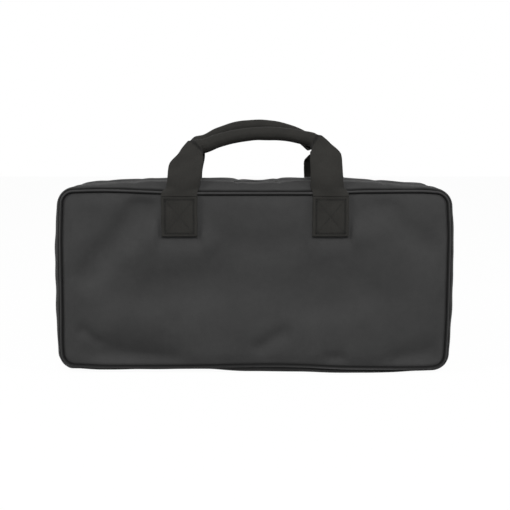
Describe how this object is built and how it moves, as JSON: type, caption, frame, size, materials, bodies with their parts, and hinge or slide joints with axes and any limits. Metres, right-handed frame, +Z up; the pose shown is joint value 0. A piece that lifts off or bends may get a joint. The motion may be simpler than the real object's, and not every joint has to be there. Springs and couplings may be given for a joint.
{
  "type": "soft carry case",
  "caption": "Padded rectangular fabric carry case with piped panels, a bulging zipped gusset and a pair of wrapped webbing handles, for a small telescope.",
  "frame": {"origin": "on the floor, under the middle of the closed case", "axes": "+X along the case's width, +Y from the front panel to the rear panel, +Z up"},
  "size_m": [0.5564, 0.1496, 0.3492],
  "materials": {
    "shell_fabric": "matte plain-weave polyester",
    "lining_fabric": "smooth nylon taffeta",
    "foam": "closed-cell sheet foam",
    "webbing": "ribbed polypropylene webbing",
    "piping_cord": "cloth-covered cord",
    "binding_tape": "grosgrain tape",
    "zip_tape": "woven tape",
    "zip_coil": "nylon coil",
    "thread": "bonded sewing thread",
    "grip_core": "soft plastic rod",
    "slider_metal": "black painted zinc"
  },
  "bodies": {
    "rear_shell": {"rear_panel_cover": "shell_fabric", "rear_panel_foam": "foam", "rear_panel_lining": "lining_fabric", "rear_gusset_cover": "shell_fabric", "rear_gusset_foam": "foam", "rear_gusset_lining": "lining_fabric", "rear_piping": "piping_cord", "rear_binding": "binding_tape", "rear_zip_tape": "zip_tape", "rear_zip_coil": "zip_coil", "rear_zip_stitching": "thread", "rear_zip_ends": "shell_fabric", "rear_handle_ends": "webbing", "rear_end_stitching": "thread", "base_cover": "shell_fabric", "base_foam": "foam", "base_lining": "lining_fabric"},
    "rear_handle": {"rear_handle_strap": "webbing", "rear_handle_core": "grip_core", "rear_grip_thread": "thread"},
    "front_shell": {"front_panel_cover": "shell_fabric", "front_panel_foam": "foam", "front_panel_lining": "lining_fabric", "front_gusset_cover": "shell_fabric", "front_gusset_foam": "foam", "front_gusset_lining": "lining_fabric", "front_piping": "piping_cord", "front_binding": "binding_tape", "front_zip_tape": "zip_tape", "front_zip_coil": "zip_coil", "front_zip_stitching": "thread", "front_zip_ends": "shell_fabric", "front_handle_ends": "webbing", "front_end_stitching": "thread"},
    "front_handle": {"front_handle_strap": "webbing", "front_handle_core": "grip_core", "front_grip_thread": "thread"},
    "left_slider": {"left_slider": "slider_metal"},
    "left_pull": {"left_pull": "slider_metal"},
    "right_slider": {"right_slider": "slider_metal"},
    "right_pull": {"right_pull": "slider_metal"}
  },
  "joints": [
    {"name": "lid_fold", "type": "hinge", "parent": "rear_shell", "child": "front_shell", "pos_m": [0, -0.07, 0.008], "axis": [1, 0, 0], "range_deg": [0, 90]},
    {"name": "front_handle_fold", "type": "hinge", "parent": "front_shell", "child": "front_handle", "pos_m": [0, -0.0748, 0.245], "axis": [1, 0, 0], "range_deg": [0, 175]},
    {"name": "rear_handle_fold", "type": "hinge", "parent": "rear_shell", "child": "rear_handle", "pos_m": [0, 0.0748, 0.245], "axis": [-1, 0, 0], "range_deg": [0, 175]},
    {"name": "left_slider_run", "type": "slide", "parent": "rear_shell", "child": "left_slider", "axis": [-1, 0, 0], "range_m": [0, 0.235]},
    {"name": "right_slider_run", "type": "slide", "parent": "rear_shell", "child": "right_slider", "axis": [1, 0, 0], "range_m": [0, 0.04]},
    {"name": "left_pull_lift", "type": "hinge", "parent": "left_slider", "child": "left_pull", "pos_m": [0.0907, 0, 0.26735], "axis": [0, 1, 0], "range_deg": [0, 90]},
    {"name": "right_pull_lift", "type": "hinge", "parent": "right_slider", "child": "right_pull", "pos_m": [0.1063, 0, 0.26735], "axis": [0, -1, 0], "range_deg": [0, 90]}
  ]
}
